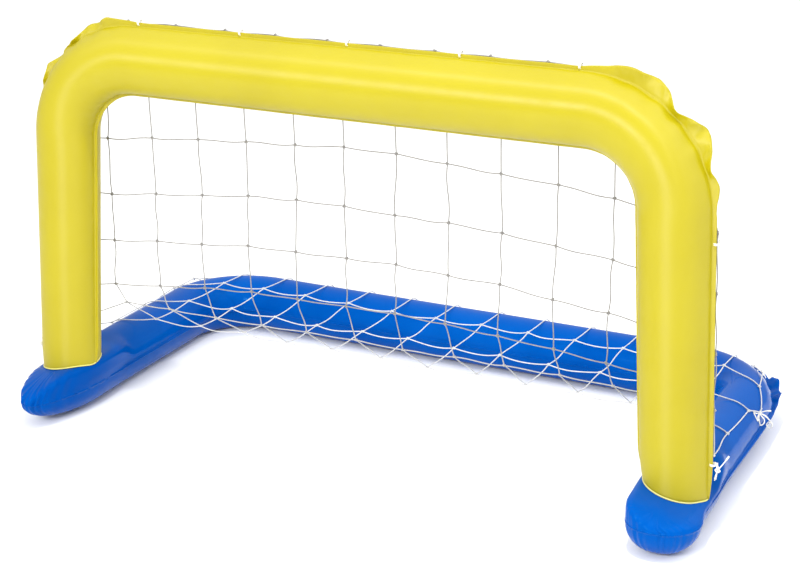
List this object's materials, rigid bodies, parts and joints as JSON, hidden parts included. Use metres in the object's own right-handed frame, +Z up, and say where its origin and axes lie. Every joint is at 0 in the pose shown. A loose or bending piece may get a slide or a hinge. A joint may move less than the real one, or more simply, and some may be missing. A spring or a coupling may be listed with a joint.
{
  "type": "inflatable water polo goal",
  "caption": "Inflatable water polo goal for pools: a yellow air-filled arch on a blue U-shaped float, with a knotted white net tied through eyelets in the seams.",
  "frame": {"origin": "on the floor, at the middle of the whole goal's width and depth", "axes": "+X along the crossbar to the right as seen from the front, +Y from the mouth to the rear tube, +Z up"},
  "size_m": [1.4154, 0.8082, 0.8058],
  "materials": {
    "yellow_pvc": "satin vinyl sheet with soft wide highlights",
    "blue_pvc": "glossy vinyl sheet with small sharp highlights",
    "net_twine": "twisted off-white twine, matt",
    "tie_twine": "twisted off-white twine, matt",
    "valve_pvc": "soft translucent vinyl"
  },
  "bodies": {
    "goal": {"arch_front_panel": "yellow_pvc", "arch_rear_panel": "yellow_pvc", "base_top_panel": "blue_pvc", "base_bottom_panel": "blue_pvc", "net": "net_twine", "tie_crossbar_1": "tie_twine", "tie_crossbar_2": "tie_twine", "tie_crossbar_3": "tie_twine", "tie_crossbar_4": "tie_twine", "tie_crossbar_5": "tie_twine", "tie_rear_1": "tie_twine", "tie_rear_2": "tie_twine", "tie_rear_3": "tie_twine", "tie_rear_4": "tie_twine", "tie_rear_5": "tie_twine", "tie_post_left_upper": "tie_twine", "tie_post_left_foot": "tie_twine", "tie_side_left": "tie_twine", "tie_corner_left": "tie_twine", "tie_post_right_upper": "tie_twine", "tie_post_right_foot": "tie_twine", "tie_side_right": "tie_twine", "tie_corner_right": "tie_twine", "arch_valve_body": "valve_pvc", "arch_valve_strap": "valve_pvc", "base_valve_body": "valve_pvc", "base_valve_strap": "valve_pvc"},
    "arch_plug": {"arch_valve_plug": "valve_pvc"},
    "arch_flap": {"arch_valve_flap": "valve_pvc"},
    "base_plug": {"base_valve_plug": "valve_pvc"},
    "base_flap": {"base_valve_flap": "valve_pvc"}
  },
  "joints": [
    {"name": "arch_plug_slide", "type": "slide", "parent": "goal", "child": "arch_plug", "axis": [0, 1, 0], "range_m": [0, 0.012]},
    {"name": "arch_flap_hinge", "type": "hinge", "parent": "goal", "child": "arch_flap", "pos_m": [-0.60936, -0.20616, 0.39149], "axis": [-0.9986, 0, 0.0523], "range_deg": [0, 70]},
    {"name": "base_plug_slide", "type": "slide", "parent": "goal", "child": "base_plug", "axis": [0, 0.7071, 0.7071], "range_m": [0, 0.012]},
    {"name": "base_flap_hinge", "type": "hinge", "parent": "goal", "child": "base_flap", "pos_m": [0.4275, 0.35759, 0.08686], "axis": [0, 0.7071, -0.7071], "range_deg": [0, 70]}
  ]
}
